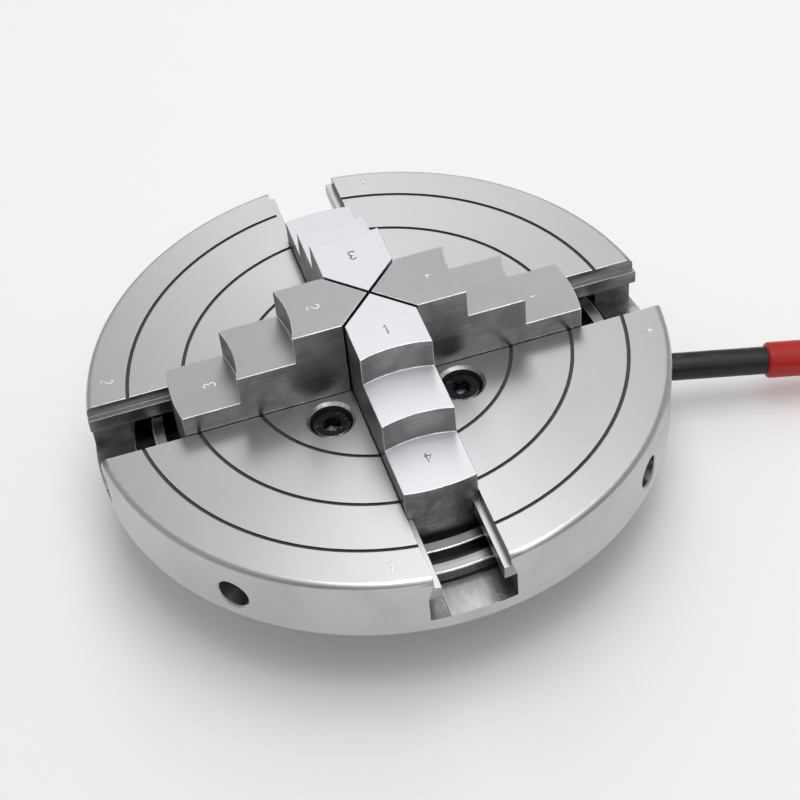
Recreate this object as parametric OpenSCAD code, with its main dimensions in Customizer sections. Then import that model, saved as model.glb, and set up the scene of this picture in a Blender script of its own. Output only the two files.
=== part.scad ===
// Four-jaw self-centring lever chuck, 200 mm.
// The origin is the centre of the back face; +Z points from the back face to the jaws.
// The jaws are drawn fully closed and the scroll ring at the start of its travel.
// The whole chuck is drawn in millimetres.

/* [Body] */
// outside diameter of the body, mm
body_d = 200; // [160:1:250]
// height of the jaw face above the back face, mm
face_z = 53; // [50:0.5:60]
// thickness of the visible rim, mm
rim_h = 25; // [24:0.5:27]
// rounding of the front edge of the rim, mm
rim_round = 2.2; // [0.5:0.1:3]
// diameter of the pocket that holds the scroll, mm
pocket_d = 174; // [174:0.5:180]
// diameter of the hub on which the scroll turns, mm
hub_d = 91.9; // [91.8:0.02:91.94]
// diameter of the shoulder that keeps the scroll down, mm
collar_d = 96; // [94:0.5:96]
// diameter of the hole through the middle, mm
through_d = 30; // [20:1:32]

/* [Jaw slots] */
// width between the lips at the face, mm
slot_w = 25; // [24.8:0.1:26]
// width between the two guide rails, mm
rail_w = 20.2; // [20:0.1:21]
// width of the undercut below the rails, mm
undercut_w = 29; // [26:0.5:30]
// depth from the face to the top of the rails, mm
rail_top_depth = 4; // [3:0.1:5]
// depth from the face to the underside of the rails, mm
rail_bottom_depth = 9; // [8:0.1:10]
// depth from the face to the slot floor, mm
floor_depth = 19.1; // [19:0.1:20]
// width of the raised strip along the slot floor, mm
floor_strip_w = 16; // [10:0.5:20]
// drop of the two side channels below that strip, mm
floor_channel = 0.4; // [0:0.1:0.8]

/* [Face grooves] */
// diameter of the inner groove, mm
groove_1_d = 91.8; // [80:0.1:100]
// diameter of the middle groove, mm
groove_2_d = 133.2; // [120:0.1:140]
// diameter of the outer groove, mm
groove_3_d = 171; // [160:0.1:180]
// width of a groove, mm
groove_w = 1.3; // [0.5:0.1:2]
// depth of a groove, mm
groove_depth = 0.6; // [0.2:0.1:1]

/* [Scroll] */
// radial distance between neighbouring turns of the thread, mm
pitch = 9; // [8:0.5:9]
// width of the spiral ridge, mm
ridge_w = 4; // [3:0.1:4]
// depth from the face to the top of the spiral ridge, mm
ridge_top_depth = 14.3; // [14.2:0.1:15]
// depth from the face to the bottom of the thread, mm
thread_root_depth = 19.3; // [19.2:0.1:20]
// diameter of the scroll inside the pocket, mm
scroll_d = 173; // [172:0.5:173.4]
// diameter of the exposed ring below the rim, mm
ring_d = 168; // [150:1:170]
// running clearance between scroll bore and hub, on the radius, mm
scroll_clear = 0.05; // [0.03:0.01:0.1]

/* [Jaws] */
// width of a jaw, mm
jaw_w = 24.5; // [24:0.1:24.9]
// distance from the chuck axis to the tip of a closed jaw, mm
jaw_tip = 0.7; // [0.5:0.1:2]
// distance from the chuck axis to the outer end of a closed jaw, mm
jaw_end = 71.2; // [65:0.1:75]
// height of the top step above the face, mm
step_high = 30; // [25:0.5:35]
// height of the middle step above the face, mm
step_mid = 19; // [15:0.5:22]
// height of the low step above the face, mm
step_low = 8; // [5:0.5:10]
// radius of the hollow step faces, mm
step_r = 40; // [30:1:60]
// distance from the chuck axis to the middle of the top step face, mm
step_1_x = 28; // [25:0.1:32]
// distance from the chuck axis to the middle of the lower step face, mm
step_2_x = 48.3; // [44:0.1:52]
// width of a scroll tooth, mm
tooth_w = 4; // [3.5:0.1:4]

/* [Screws and pins] */
// radius of the circle that the four screws stand on, mm
screw_circle_r = 32.3; // [30:0.1:34]
// diameter of a counterbore, mm
counterbore_d = 14.6; // [14:0.1:16]
// depth of a counterbore, mm
counterbore_depth = 10; // [9:0.5:11]
// diameter of a screw head, mm
head_d = 13; // [12:0.1:14]
// height of a screw head, mm
head_h = 8; // [6:0.5:8]
// length of a screw under its head, mm
screw_len = 40; // [36:1:40]
// width across the flats of the hexagon socket, mm
socket_af = 6; // [5:1:6]
// diameter of a dowel pin, mm
dowel_d = 6; // [5:0.5:8]
// length of a dowel pin, mm
dowel_len = 16; // [12:1:16]

/* [Back plate] */
// diameter of the back plate, mm
plate_d = 144; // [140:1:150]
// thickness of the back plate, mm
plate_h = 13; // [12:0.5:14]
// diameter of the register recess, mm
register_d = 100; // [90:1:110]
// depth of the register recess, mm
register_depth = 2.8; // [2:0.1:2.8]
// radius of the circle of tapped mounting holes, mm
mount_circle_r = 61; // [58:0.5:64]
// diameter of a tapped mounting hole, mm
mount_hole_d = 8; // [6:1:10]

/* [Lever] */
// diameter of the bar holes in the rim, mm
rim_hole_d = 11; // [10.5:0.1:12]
// diameter of the bar holes in the scroll ring, mm
ring_hole_d = 12.5; // [12.4:0.1:13]
// diameter of the steel bar, mm
bar_d = 10; // [9:0.1:10]
// diameter of the plastic grip, mm
grip_d = 13; // [12:0.1:14]

/* [Hidden] */
body_r = body_d / 2;
pocket_r = pocket_d / 2;
hub_r = hub_d / 2;
collar_r = collar_d / 2;
rim_z = face_z - rim_h;
roof_gap = 0.5;
roof_z = face_z - ridge_top_depth + roof_gap;
floor_z = face_z - floor_depth;
rim_chamfer = 1;
root_z = face_z - thread_root_depth;
ridge_z = face_z - ridge_top_depth;
scroll_r = scroll_d / 2;
ring_r = ring_d / 2;
seat_gap = 0.05;
ring_step_z = rim_z + 0.5;
slot_angles = [-90, 180, 90, 0];
screw_angles = [-135, 135, 45, -45];

jaw_half = jaw_w / 2;
jaw_under_z = ridge_z + 0.3;
jaw_top_z = face_z + step_high;
tooth_tip_z = floor_z + 0.3;
rail_gap = 0.08;
rail_side_gap = 0.2;
end_r = 65;
tooth_inner_r = 88;
tooth_outer_r = 44;
ridge_at_slot_1 = 75.4;
tooth_count = 8;

seat_z = face_z - counterbore_depth;
screw_clear_d = 9;
thread_d = 8;
shank_d = 7.94;
counterbore_chamfer = 1;
socket_depth = 4;
dowel_low_z = 5;
dowel_circle_r = 32;
plate_chamfer = 1;
mount_hole_depth = 11;
mount_hole_count = 4;
mount_hole_start = 45;

rim_hole_z = face_z - 14.4;
rim_hole_end_r = 88.8;
rim_hole_chamfer = 0.6;
ring_hole_z = 20.8;
ring_hole_start = -3.85;
ring_hole_end_r = 62;
ring_hole_chamfer = 1.5;
bar_pivot_r = 77;
bar_turn = -12;
bar_droop = 4.17;
bar_in = 6.5;
bar_out = 157;
grip_start = 63.1;
grip_end = 160;
grip_bore_d = 10.04;

$fn = 128;

// a bar as wide as w, across the whole chuck, between two heights
module cross_bar(w, z0, z1) {
    for (a = [0, 90])
        rotate(a)
            translate([-body_r - 1, -w / 2, z0])
                cube([2 * body_r + 2, w, z1 - z0]);
}

// a ring-shaped cut in the face
module face_groove(d) {
    translate([0, 0, face_z - groove_depth])
        difference() {
            cylinder(r = d / 2 + groove_w / 2, h = groove_depth + 1);
            translate([0, 0, -1])
                cylinder(r = d / 2 - groove_w / 2, h = groove_depth + 3);
        }
}

// the outside of the body: chamfered below, rounded at the face
module body_blank() {
    translate([0, 0, rim_z])
        cylinder(r1 = body_r - rim_chamfer, r2 = body_r, h = rim_chamfer);
    translate([0, 0, rim_z + rim_chamfer])
        cylinder(r = body_r, h = rim_h - rim_chamfer - rim_round);
    translate([0, 0, face_z - rim_round])
        cylinder(r = body_r - rim_round, h = rim_round);
    translate([0, 0, face_z - rim_round])
        rotate_extrude()
            translate([body_r - rim_round, 0])
                intersection() {
                    circle(r = rim_round);
                    square(rim_round + 1);
                }
}

// a counterbored hole with a chamfered mouth
module screw_hole() {
    translate([0, 0, seat_z])
        cylinder(d = counterbore_d, h = counterbore_depth + 1);
    translate([0, 0, face_z - counterbore_chamfer])
        cylinder(d1 = counterbore_d, d2 = counterbore_d + 2 * counterbore_chamfer,
            h = counterbore_chamfer);
    translate([0, 0, plate_h - 1])
        cylinder(d = screw_clear_d, h = seat_z - plate_h + 2);
}

// a blind radial hole for the lever, with a chamfered mouth
module bar_hole(d, z, r_end, r_mouth, chamfer) {
    translate([r_end, 0, z])
        rotate([0, 90, 0])
            cylinder(d = d, h = r_mouth - r_end + 2);
    translate([r_mouth - chamfer, 0, z])
        rotate([0, 90, 0])
            cylinder(d1 = d, d2 = d + 2 * chamfer + 1, h = chamfer + 0.5);
}

module chuck_body() {
    color([0.80, 0.81, 0.82])
        difference() {
            union() {
                difference() {
                    body_blank();
                    translate([0, 0, rim_z - 1])
                        cylinder(r = pocket_r, h = roof_z - rim_z + 1);
                }
                translate([0, 0, plate_h])
                    cylinder(r = hub_r, h = roof_z - plate_h + 1);
                translate([0, 0, floor_z])
                    cylinder(r = collar_r, h = roof_z - floor_z + 1);
            }
            translate([0, 0, plate_h - 1])
                cylinder(d = through_d, h = face_z);
            cross_bar(slot_w, face_z - rail_top_depth, face_z + 1);
            cross_bar(rail_w, face_z - rail_bottom_depth - 1, face_z - rail_top_depth + 1);
            cross_bar(undercut_w, floor_z, face_z - rail_bottom_depth);
            for (a = [0, 90])
                rotate(a)
                    for (s = [-1, 1])
                        translate([-body_r - 1, s * (undercut_w + floor_strip_w) / 4, floor_z])
                            translate([0, -(undercut_w - floor_strip_w) / 4, -floor_channel])
                                cube([2 * body_r + 2, (undercut_w - floor_strip_w) / 2,
                                    floor_channel + 1]);
            face_groove(groove_1_d);
            face_groove(groove_2_d);
            face_groove(groove_3_d);
            for (a = screw_angles)
                rotate(a)
                    translate([screw_circle_r, 0, 0])
                        screw_hole();
            for (s = [-1, 1])
                translate([s * dowel_circle_r, 0, plate_h - 1])
                    cylinder(d = dowel_d + 0.02, h = dowel_low_z + dowel_len - plate_h + 1.5);
            for (a = [45, 135, 225, 315])
                rotate(a)
                    bar_hole(rim_hole_d, rim_hole_z, rim_hole_end_r, body_r, rim_hole_chamfer);
        }
}

// one quarter turn of the spiral; the radius shrinks by a quarter pitch going anticlockwise
module spiral_quarter(start_angle, start_r) {
    shift = pitch / 8;
    rotate(start_angle)
        translate([shift, -shift, root_z - 1])
            rotate_extrude(angle = 90)
                translate([start_r - shift - ridge_w / 2, 0])
                    square([ridge_w, ridge_z - root_z + 1]);
}

module scroll_ring() {
    quarter_drop = pitch / 4;
    outer_r = ridge_at_slot_1 + pitch + quarter_drop;
    color([0.72, 0.73, 0.74])
        difference() {
            union() {
                translate([0, 0, plate_h + seat_gap])
                    cylinder(r = ring_r, h = root_z - plate_h - seat_gap);
                translate([0, 0, ring_step_z])
                    cylinder(r = scroll_r, h = root_z - ring_step_z);
                intersection() {
                    union()
                        for (i = [0:15])
                            spiral_quarter(-180 + 90 * i, outer_r - quarter_drop * i);
                    translate([0, 0, root_z - 1])
                        cylinder(r = scroll_r, h = ridge_z - root_z + 2);
                }
            }
            translate([0, 0, plate_h - 1])
                cylinder(r = hub_r + scroll_clear, h = face_z);
            for (k = [0:3])
                rotate(ring_hole_start + 90 * k)
                    bar_hole(ring_hole_d, ring_hole_z, ring_hole_end_r, ring_r, ring_hole_chamfer);
        }
}

// the plan shape of a jaw: a right-angled tip and a bulging outer end
module jaw_outline(z0, z1) {
    intersection() {
        translate([0, 0, z0])
            linear_extrude(z1 - z0)
                polygon([
                    [jaw_tip, 0],
                    [jaw_tip + jaw_half, jaw_half],
                    [jaw_end + 5, jaw_half],
                    [jaw_end + 5, -jaw_half],
                    [jaw_tip + jaw_half, -jaw_half]
                ]);
        translate([jaw_end - end_r, 0, z0 - 1])
            cylinder(r = end_r, h = z1 - z0 + 2);
    }
}

// a crescent tooth whose middle is at distance x from the chuck axis
module tooth(x) {
    difference() {
        translate([x + tooth_w / 2 - tooth_outer_r, 0, tooth_tip_z])
            cylinder(r = tooth_outer_r, h = jaw_under_z - tooth_tip_z + 1);
        translate([x - tooth_w / 2 - tooth_inner_r, 0, tooth_tip_z - 1])
            cylinder(r = tooth_inner_r, h = jaw_under_z - tooth_tip_z + 3);
    }
}

// jaw number k, drawn in its own slot; the tooth row steps by a quarter pitch from jaw to jaw
module jaw(k) {
    first_tooth = ridge_at_slot_1 - 7.5 * pitch + pitch / 4 * (k - 1);
    rotate(slot_angles[k - 1])
        union() {
            difference() {
                jaw_outline(jaw_under_z, jaw_top_z);
                translate([step_1_x + step_r, 0, face_z + step_mid])
                    cylinder(r = step_r, h = step_high);
                translate([step_2_x + step_r, 0, face_z + step_low])
                    cylinder(r = step_r, h = step_high);
                for (s = [-1, 1])
                    translate([-1, s * (rail_w / 2 - rail_side_gap + 5) - 5,
                        face_z - rail_bottom_depth - rail_gap])
                        cube([jaw_end + 2, 10, rail_bottom_depth - rail_top_depth + 2 * rail_gap]);
            }
            intersection() {
                jaw_outline(tooth_tip_z - 1, jaw_under_z + 1);
                union()
                    for (i = [0:tooth_count - 1])
                        tooth(first_tooth + pitch * i);
            }
        }
}

module jaw_1() {
    color([0.78, 0.79, 0.80])
        jaw(1);
}

module jaw_2() {
    color([0.78, 0.79, 0.80])
        jaw(2);
}

module jaw_3() {
    color([0.78, 0.79, 0.80])
        jaw(3);
}

module jaw_4() {
    color([0.78, 0.79, 0.80])
        jaw(4);
}

module back_plate() {
    color([0.45, 0.46, 0.47])
        difference() {
            union() {
                cylinder(d1 = plate_d - 2 * plate_chamfer, d2 = plate_d, h = plate_chamfer);
                translate([0, 0, plate_chamfer])
                    cylinder(d = plate_d, h = plate_h - plate_chamfer);
            }
            translate([0, 0, -1])
                cylinder(d = through_d, h = plate_h + 2);
            translate([0, 0, -1])
                cylinder(d = register_d, h = register_depth + 1);
            for (a = screw_angles)
                rotate(a)
                    translate([screw_circle_r, 0, -1])
                        cylinder(d = thread_d, h = plate_h + 2);
            for (s = [-1, 1])
                translate([s * dowel_circle_r, 0, dowel_low_z - 0.3])
                    cylinder(d = dowel_d + 0.02, h = plate_h);
            for (i = [0:mount_hole_count - 1])
                rotate(mount_hole_start + 360 / mount_hole_count * i)
                    translate([mount_circle_r, 0, -1])
                        cylinder(d = mount_hole_d, h = mount_hole_depth + 1);
        }
}

// socket head cap screw number k
module body_screw(k) {
    color([0.12, 0.12, 0.13])
        rotate(screw_angles[k - 1])
            translate([screw_circle_r, 0, 0])
                difference() {
                    union() {
                        translate([0, 0, seat_z])
                            cylinder(d = head_d, h = head_h);
                        translate([0, 0, seat_z - screw_len])
                            cylinder(d = shank_d, h = screw_len + 1);
                    }
                    translate([0, 0, seat_z + head_h - socket_depth])
                        cylinder(r = socket_af / 2 / cos(30), h = socket_depth + 1, $fn = 6);
                }
}

module body_screw_1() {
    body_screw(1);
}

module body_screw_2() {
    body_screw(2);
}

module body_screw_3() {
    body_screw(3);
}

module body_screw_4() {
    body_screw(4);
}

module dowel_pin_1() {
    color([0.70, 0.71, 0.72])
        translate([dowel_circle_r, 0, dowel_low_z])
            cylinder(d = dowel_d, h = dowel_len);
}

module dowel_pin_2() {
    color([0.70, 0.71, 0.72])
        translate([-dowel_circle_r, 0, dowel_low_z])
            cylinder(d = dowel_d, h = dowel_len);
}

// puts the lever's own long axis, drawn along +X, into its ring hole, askew and drooping
module on_lever() {
    rotate(ring_hole_start)
        translate([bar_pivot_r, 0, ring_hole_z])
            rotate(bar_turn - ring_hole_start)
                rotate([0, bar_droop, 0])
                    children();
}

module lever_bar() {
    color([0.13, 0.14, 0.15])
        on_lever()
            translate([-bar_in, 0, 0])
                rotate([0, 90, 0])
                    cylinder(d = bar_d, h = bar_in + bar_out);
}

module lever_grip() {
    color([0.75, 0.08, 0.08])
        on_lever()
            difference() {
                translate([grip_start, 0, 0])
                    rotate([0, 90, 0])
                        cylinder(d = grip_d, h = grip_end - grip_start);
                translate([grip_start - 1, 0, 0])
                    rotate([0, 90, 0])
                        cylinder(d = grip_bore_d, h = bar_out - grip_start + 1 + 0.05);
            }
}

chuck_body();
jaw_1();
jaw_2();
jaw_3();
jaw_4();
scroll_ring();
back_plate();
body_screw_1();
body_screw_2();
body_screw_3();
body_screw_4();
dowel_pin_1();
dowel_pin_2();
lever_bar();
lever_grip();
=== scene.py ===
"""Four-jaw self-centring lever chuck: its pieces, its metals and plastics, a plain stage.

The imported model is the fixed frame. All sizes in the code below are in millimetres until
they are handed to Blender, which works in metres. The jaws point up (+Z) and jaw 1 points
to -Y.
"""

import math

import bpy
from mathutils import Matrix, Vector


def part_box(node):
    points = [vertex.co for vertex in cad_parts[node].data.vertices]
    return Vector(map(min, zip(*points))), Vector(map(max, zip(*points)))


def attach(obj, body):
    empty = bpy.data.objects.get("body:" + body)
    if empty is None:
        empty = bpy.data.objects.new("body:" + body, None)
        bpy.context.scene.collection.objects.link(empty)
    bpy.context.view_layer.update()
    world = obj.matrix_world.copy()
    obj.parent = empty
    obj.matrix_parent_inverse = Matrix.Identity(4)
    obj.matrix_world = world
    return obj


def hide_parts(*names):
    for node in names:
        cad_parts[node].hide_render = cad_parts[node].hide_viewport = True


bl_info = {
    "name": "Lathe Chuck Finisher",
    "version": (1, 0, 0),
    "blender": (4, 5, 0),
    "location": "View3D > Sidebar > Chuck",
    "description": "Finishes the pieces of a four-jaw self-centring lathe chuck",
    "category": "Object",
}

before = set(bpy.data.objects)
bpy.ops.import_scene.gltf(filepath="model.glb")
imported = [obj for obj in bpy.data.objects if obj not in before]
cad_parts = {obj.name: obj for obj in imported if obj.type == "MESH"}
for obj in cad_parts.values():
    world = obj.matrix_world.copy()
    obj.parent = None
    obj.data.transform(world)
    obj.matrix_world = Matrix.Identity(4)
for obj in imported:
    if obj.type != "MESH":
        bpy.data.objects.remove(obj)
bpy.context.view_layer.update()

MM = 0.001
MM_PER_METRE = 1000.0

FACE_Z = 53.0
JAW_DIRECTIONS = {"jaw_1": -90.0, "jaw_2": 180.0, "jaw_3": 90.0, "jaw_4": 0.0}
SCREW_AZIMUTHS = {1: -135.0, 2: 135.0, 3: 45.0, 4: -45.0}
SCREW_CIRCLE = 32.3
GROOVE_RADII = (45.9, 66.6, 85.5)
GROOVE_LOW_Z, GROOVE_HIGH_Z = 52.3, 52.9
GROOVE_WALL_REACH, GROOVE_EDGE_REACH = 0.8, 1.0

# The body's areas are told apart by radius and height.
NEAR_FACE_Z = 52.0
JUST_BELOW_FACE = FACE_Z - 0.01
RIM_CHAMFER_RADIUS = 97.5
RIM_WALL_RADIUS = 97.85
RIM_LOW_Z = 27.9
SLOT_HALF_WIDTH = 14.6
SLOT_START = 12.0
SLOT_LOW_Z, SLOT_HIGH_Z = 33.2, 52.95
RAIL_HALF_WIDTHS = (9.9, 12.7)
RAIL_EDGE_LOW_Z, UNDERCUT_TOP_Z = 43.5, 43.9
SLOT_FLOOR_Z = 33.7
COUNTERBORE_LIP, COUNTERBORE_WALL = 9.0, 7.6
COUNTERBORE_LOW_Z = 42.9

# Each number: how far out it stands, and how high above the body's face.
FACE_NUMBER_RADIUS = 92.6
FACE_NUMBER_TURN = -14.3
TIP_NUMBER = (19.3, 30.0)
END_NUMBER = (57.8, 8.0)
# The numerals at the tip and on the outer end of each jaw.
JAW_NUMERALS = {"jaw_1": "14", "jaw_2": "23", "jaw_3": "32", "jaw_4": "41"}
JAW_END_RADIUS = 68.0

THREAD_ROOT_Z, THREAD_FLANK_Z, THREAD_LAND_Z = 33.0, 38.0, 38.4
THREAD_EDGE = 0.55

HEAD_HEIGHT = 8.0
SHANK_RADIUS, SHANK_END = 3.97, 0.8
# The knurl's valleys lie at this share of the head's radius.
KNURL_SHARE = 0.96
SOCKET_HALF_WIDTH, SOCKET_DEPTH = 3.0, 4.0

# The lever's line runs through a point in its ring hole, and the distances along it
# are measured from there.
LEVER_RADIUS, LEVER_AZIMUTH, LEVER_Z = 77.0, -3.85, 20.8
LEVER_LEAN, LEVER_DROOP = -12.0, -4.17
BAR_SPAN, BAR_RADIUS = (-6.5, 157.0), 5.0
GRIP_SPAN, GRIP_RADIUS, GRIP_WALL = (63.1, 160.0), 6.5, 1.48
GRIP_BORE_END = 157.05
LEVER_SIDES = 64

# The camera, in metres and degrees.
CAMERA_PLACE = (-0.099455, -0.444528, 0.500908)
CAMERA_FORWARD = (0.161424, 0.676530, -0.718505)
CAMERA_ROLL = -6.019
CAMERA_LENS = 84.23
CAMERA_SENSOR = 36.0

# Strokes of the position numbers, as points in a box about 2.2 wide and 4 high.
NUMERAL_STROKES = {
    "1": ((-0.55, 1.3), (0.1, 2.0), (0.1, -2.0)),
    "2": (
        (-0.95, 1.1), (-0.7, 1.75), (0.0, 2.0), (0.72, 1.72), (0.95, 1.05), (0.7, 0.35),
        (-1.0, -2.0), (1.05, -2.0),
    ),
    "3": (
        (-0.95, 1.5), (-0.4, 1.95), (0.4, 1.95), (0.92, 1.4), (0.8, 0.65), (0.0, 0.2),
        (0.85, -0.3), (1.05, -1.1), (0.6, -1.8), (-0.15, -2.0), (-0.8, -1.75),
        (-1.05, -1.3),
    ),
    "4": ((0.45, -2.0), (0.45, 2.0), (-1.1, -0.85), (1.15, -0.85)),
}


# ---------------------------------------------------------------- working on pieces


def leave_edit_mode():
    active = bpy.context.view_layer.objects.active
    if active is not None and active.mode != "OBJECT":
        bpy.ops.object.mode_set(mode="OBJECT")


def pick_only(piece):
    """Deselects everything and makes this piece the active one."""
    leave_edit_mode()
    bpy.ops.object.select_all(action="DESELECT")
    piece.select_set(True)
    bpy.context.view_layer.objects.active = piece


def clear_picks(piece):
    """Deselects every face, edge and point of a piece that is in object mode."""
    mesh = piece.data
    mesh.polygons.foreach_set("select", [False] * len(mesh.polygons))
    mesh.edges.foreach_set("select", [False] * len(mesh.edges))
    mesh.vertices.foreach_set("select", [False] * len(mesh.vertices))


def edit_faces(piece, wanted):
    """Opens a piece with only its wanted(centre, normal) faces picked, in mm."""
    pick_only(piece)
    clear_picks(piece)
    for face in piece.data.polygons:
        face.select = bool(wanted(face.center / MM, face.normal))
    bpy.context.tool_settings.mesh_select_mode = (False, False, True)
    bpy.ops.object.mode_set(mode="EDIT")


def edit_edges(piece, wanted):
    """Opens a piece with only its wanted(first, second) edges picked, in mm."""
    pick_only(piece)
    clear_picks(piece)
    points = piece.data.vertices
    for edge in piece.data.edges:
        first, second = (points[i].co / MM for i in edge.vertices)
        edge.select = bool(wanted(first, second))
    bpy.context.tool_settings.mesh_select_mode = (False, True, False)
    bpy.ops.object.mode_set(mode="EDIT")


def finer_copy(node, name):
    """A merged copy of a CAD node's mesh, with its flat areas as single faces."""
    piece = bpy.data.objects.new(name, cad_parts[node].data.copy())
    bpy.context.scene.collection.objects.link(piece)
    piece.data.materials.clear()
    pick_only(piece)
    if piece.data.has_custom_normals:
        bpy.ops.mesh.customdata_custom_splitnormals_clear()
    for layer in list(piece.data.uv_layers):
        piece.data.uv_layers.remove(layer)
    bpy.ops.object.mode_set(mode="EDIT")
    bpy.ops.mesh.select_all(action="SELECT")
    bpy.ops.mesh.remove_doubles(threshold=0.000002)
    bpy.ops.mesh.select_all(action="SELECT")
    bpy.ops.mesh.dissolve_limited(angle_limit=math.radians(0.3))
    bpy.ops.object.mode_set(mode="OBJECT")
    return piece


def apply_modifier(piece, kind, name, **settings):
    """Adds one modifier, sets it and applies it."""
    pick_only(piece)
    modifier = piece.modifiers.new(name, kind)
    for key, value in settings.items():
        setattr(modifier, key, value)
    bpy.ops.object.modifier_apply(modifier=modifier.name)


def soften_edges(piece, width, finish, rule):
    """Bevels the edges sharper than 30 degrees and gives the bevels their own finish.

    rule(first, second, outward) is the share of the full width that an edge takes.
    outward is the middle of the two faces' normals, and points away from the edge.
    """
    mesh = piece.data
    normals = {}
    for face in mesh.polygons:
        for key in face.edge_keys:
            normals.setdefault(key, []).append(face.normal)
    attribute = mesh.attributes.new("bevel_weight_edge", "FLOAT", "EDGE")
    weights = [0.0] * len(mesh.edges)
    least = math.cos(math.radians(30.0))
    for i, edge in enumerate(mesh.edges):
        sides = normals.get(edge.key, [])
        if len(sides) != 2 or sides[0].dot(sides[1]) > least:
            continue
        first, second = (mesh.vertices[v].co / MM for v in edge.vertices)
        weights[i] = float(rule(first, second, (sides[0] + sides[1]).normalized()))
    attribute.data.foreach_set("value", weights)
    apply_modifier(
        piece,
        "BEVEL",
        "softened edges",
        width=width * MM,
        segments=2,
        limit_method="WEIGHT",
        use_clamp_overlap=False,
        loop_slide=True,
        miter_outer="MITER_SHARP",
        material=slot_of(piece, finish),
    )


def shade(piece, angle=50.0):
    """Smooth shading over shallow angles, with flat areas kept flat."""
    pick_only(piece)
    bpy.ops.object.shade_smooth_by_angle(angle=math.radians(angle))
    apply_modifier(
        piece, "WEIGHTED_NORMAL", "flat areas stay flat", keep_sharp=True, weight=50
    )


def settle(piece):
    """Puts the piece's place, turn and size into its mesh."""
    pick_only(piece)
    bpy.ops.object.transform_apply(location=True, rotation=True, scale=True)


def slot_of(piece, finish):
    """Number of the piece's material slot that holds a finish."""
    return piece.data.materials.find(MATERIALS[finish].name)


def paint_faces(piece, finish, wanted):
    """Gives a finish to the faces that are wanted(centre, normal), in mm."""
    index = slot_of(piece, finish)
    for face in piece.data.polygons:
        if wanted(face.center / MM, face.normal):
            face.material_index = index


def near_groove(spot, within):
    """True within a distance of the middle line of a ring groove in the face."""
    reach = math.hypot(spot.x, spot.y)
    return any(abs(reach - groove) < within for groove in GROOVE_RADII)


def paint_grooves(piece, finish):
    """Gives a finish to the floors and walls of the ring grooves in the face."""
    index = slot_of(piece, finish)
    points = piece.data.vertices
    for face in piece.data.polygons:
        corners = [points[i].co / MM for i in face.vertices]
        lowest = min(corner.z for corner in corners)
        if GROOVE_LOW_Z < lowest < GROOVE_HIGH_Z and all(
            near_groove(corner, GROOVE_WALL_REACH) for corner in corners
        ):
            face.material_index = index


def cut_away(piece, cutters):
    """Takes the cutters, which stay clear of each other, out of the piece."""
    pick_only(cutters[0])
    for cutter in cutters:
        cutter.select_set(True)
    if len(cutters) > 1:
        bpy.ops.object.join()
    apply_modifier(
        piece,
        "BOOLEAN",
        "cut",
        operation="DIFFERENCE",
        object=cutters[0],
        solver="EXACT",
        use_self=len(cutters) > 1,
    )
    bpy.data.objects.remove(cutters[0])


def stand_for(piece, nodes, body):
    """Hands over a finished piece: what it replaces, and its body."""
    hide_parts(*nodes)
    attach(piece, body)


def polar(radius, azimuth, height=0.0):
    turn = math.radians(azimuth)
    return Vector((radius * math.cos(turn), radius * math.sin(turn), height))


def numeral_cutter(numeral, place, top_azimuth):
    """A round-nosed tool path in the shape of one numeral, standing in the surface."""
    sizes = bpy.context.scene.chuck_sizes
    width = sizes.number_stroke / MM
    up = polar(1.0, top_azimuth)
    right = Vector((up.y, -up.x, 0.0))
    lift = Vector((0.0, 0.0, width / 2 - sizes.number_depth / MM))
    shape = bpy.data.curves.new("number_" + numeral, "CURVE")
    shape.dimensions = "3D"
    shape.bevel_depth = width / 2 * MM
    shape.bevel_resolution = 1
    shape.use_fill_caps = True
    stroke = NUMERAL_STROKES[numeral]
    line = shape.splines.new("POLY")
    line.points.add(len(stroke) - 1)
    for point, (across, along) in zip(line.points, stroke):
        offset = (right * across + up * along) * (sizes.number_height / MM / 4.0)
        point.co = (*((place + offset + lift) * MM), 1.0)
    cutter = bpy.data.objects.new("number_" + numeral, shape)
    bpy.context.scene.collection.objects.link(cutter)
    pick_only(cutter)
    bpy.ops.object.convert(target="MESH")
    return bpy.context.view_layer.objects.active


def stamp_numbers(piece, finish, numbers):
    """Cuts each number, a (numeral, place, azimuth of its top), and gives it a finish."""
    within = 0.75 * bpy.context.scene.chuck_sizes.number_height / MM
    cut_away(piece, [numeral_cutter(*number) for number in numbers])
    for _, place, _ in numbers:
        paint_faces(
            piece,
            finish,
            lambda c, n, place=place: (
                place.z - 0.4 < c.z < place.z - 0.002
                and math.hypot(c.x - place.x, c.y - place.y) < within
            ),
        )


def add_cylinder(name, sides, radius, depth, middle, turn=(0.0, 0.0, 0.0)):
    """A plain cylinder, upright unless it is turned."""
    leave_edit_mode()
    bpy.ops.object.select_all(action="DESELECT")
    bpy.ops.mesh.primitive_cylinder_add(
        vertices=sides,
        radius=radius * MM,
        depth=depth * MM,
        location=Vector(middle) * MM,
        rotation=turn,
        end_fill_type="NGON",
    )
    piece = bpy.context.view_layer.objects.active
    piece.name = name
    settle(piece)
    return piece


def round_edges(piece, width, segments, wanted):
    """Bevels the wanted(first, second) edges of a piece."""
    edit_edges(piece, wanted)
    bpy.ops.mesh.bevel(offset=width * MM, segments=segments, affect="EDGES")
    bpy.ops.object.mode_set(mode="OBJECT")


def push_out(offset):
    """Extrudes the picked faces of the open piece."""
    bpy.ops.mesh.extrude_region_move(
        TRANSFORM_OT_translate={"value": Vector(offset) * MM}
    )


def draw_in(share, height):
    """Scales what is picked in the open piece towards the Z axis."""
    bpy.ops.transform.resize(
        value=(share, share, 1.0), center_override=(0.0, 0.0, height * MM)
    )


# ---------------------------------------------------------------- material parts


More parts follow.
